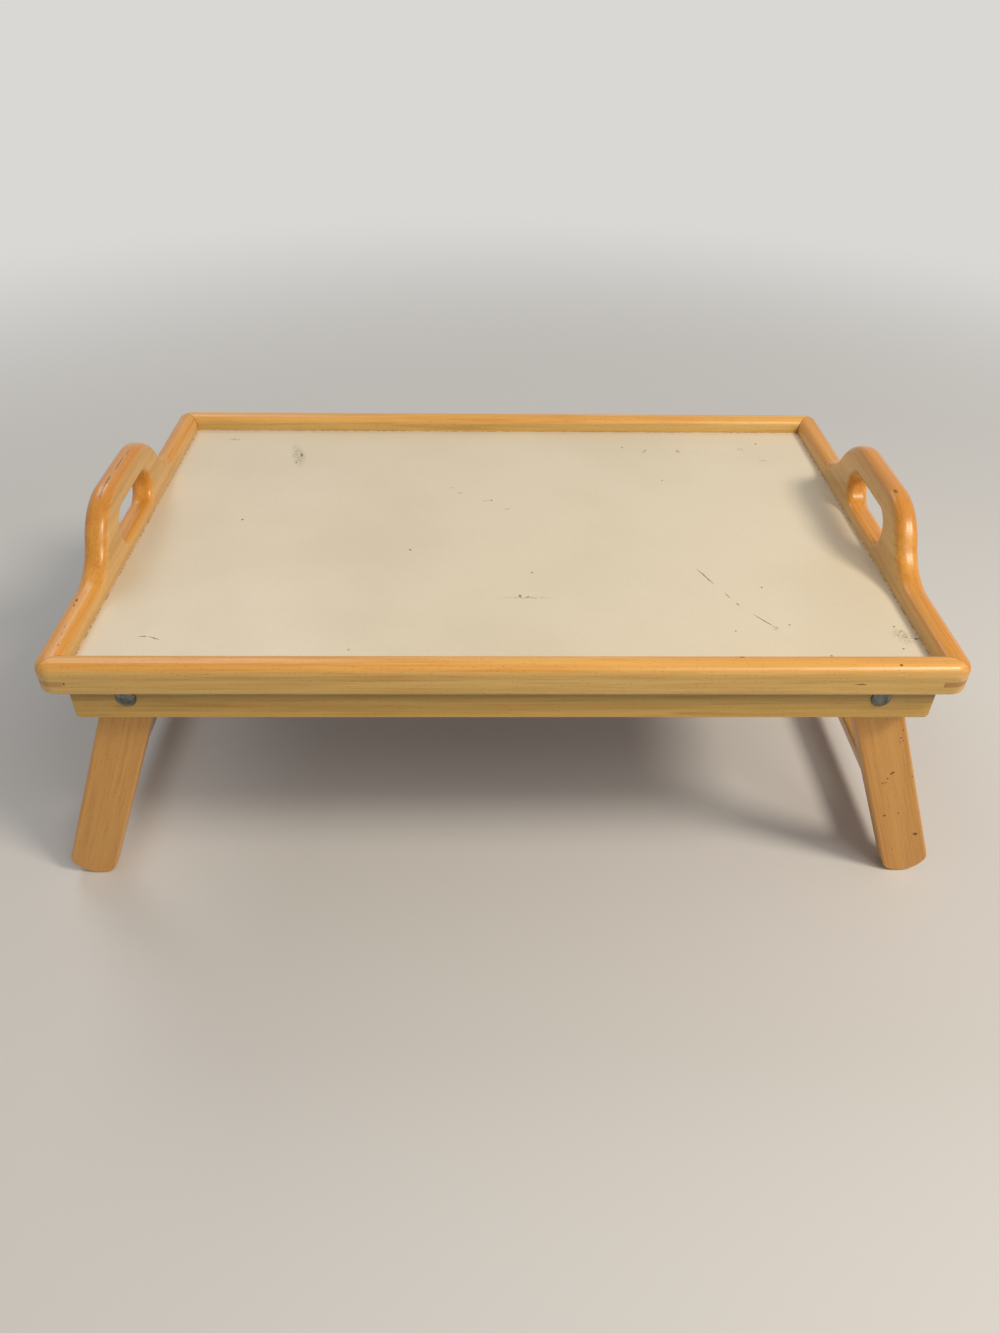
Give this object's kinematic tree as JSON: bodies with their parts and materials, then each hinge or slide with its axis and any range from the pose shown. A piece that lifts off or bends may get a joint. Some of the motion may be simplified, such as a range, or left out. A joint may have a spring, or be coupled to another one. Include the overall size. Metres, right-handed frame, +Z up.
{
  "type": "bed tray table",
  "caption": "Folding bed tray: a mitred beech frame with an arched handle at each end, a thin cream panel, and splayed leg frames that fold flat under it.",
  "frame": {"origin": "on the floor, under the middle of the tray, legs open", "axes": "+X along the tray from the left handle to the right one, +Y to the rear rail, +Z up"},
  "size_m": [0.6498, 0.38, 0.2605],
  "materials": {
    "beech_frame": "satin lacquered beech, amber",
    "beech_legs": "satin lacquered beech",
    "dark_key_wood": "end grain under satin lacquer",
    "melamine_panel": "cream melamine face, lightly scratched",
    "zinc_plated_steel": "dull zinc plating",
    "nylon": "natural nylon"
  },
  "bodies": {
    "tray": {"tray_panel": "melamine_panel", "front_rail": "beech_frame", "rear_rail": "beech_frame", "left_end_board": "beech_frame", "right_end_board": "beech_frame", "front_left_corner_key": "dark_key_wood", "rear_left_corner_key": "dark_key_wood", "front_right_corner_key": "dark_key_wood", "rear_right_corner_key": "dark_key_wood", "front_apron": "beech_frame", "rear_apron": "beech_frame", "front_left_bolt": "zinc_plated_steel", "front_left_spacer": "zinc_plated_steel", "front_left_washer": "zinc_plated_steel", "front_left_nut": "zinc_plated_steel", "front_left_nylon_ring": "nylon", "rear_left_bolt": "zinc_plated_steel", "rear_left_spacer": "zinc_plated_steel", "rear_left_washer": "zinc_plated_steel", "rear_left_nut": "zinc_plated_steel", "rear_left_nylon_ring": "nylon", "front_right_bolt": "zinc_plated_steel", "front_right_spacer": "zinc_plated_steel", "front_right_washer": "zinc_plated_steel", "front_right_nut": "zinc_plated_steel", "front_right_nylon_ring": "nylon", "rear_right_bolt": "zinc_plated_steel", "rear_right_spacer": "zinc_plated_steel", "rear_right_washer": "zinc_plated_steel", "rear_right_nut": "zinc_plated_steel", "rear_right_nylon_ring": "nylon"},
    "left_legs": {"front_left_leg": "beech_legs", "rear_left_leg": "beech_legs", "left_stretcher": "beech_legs"},
    "right_legs": {"front_right_leg": "beech_legs", "rear_right_leg": "beech_legs", "right_stretcher": "beech_legs"}
  },
  "joints": [
    {"name": "left_leg_fold", "type": "hinge", "parent": "tray", "child": "left_legs", "pos_m": [-0.24, 0, 0.18775], "axis": [0, -1, 0], "range_deg": [0, 111.5]},
    {"name": "right_leg_fold", "type": "hinge", "parent": "tray", "child": "right_legs", "pos_m": [0.24, 0, 0.18775], "axis": [0, 1, 0], "range_deg": [0, 111.5]}
  ]
}
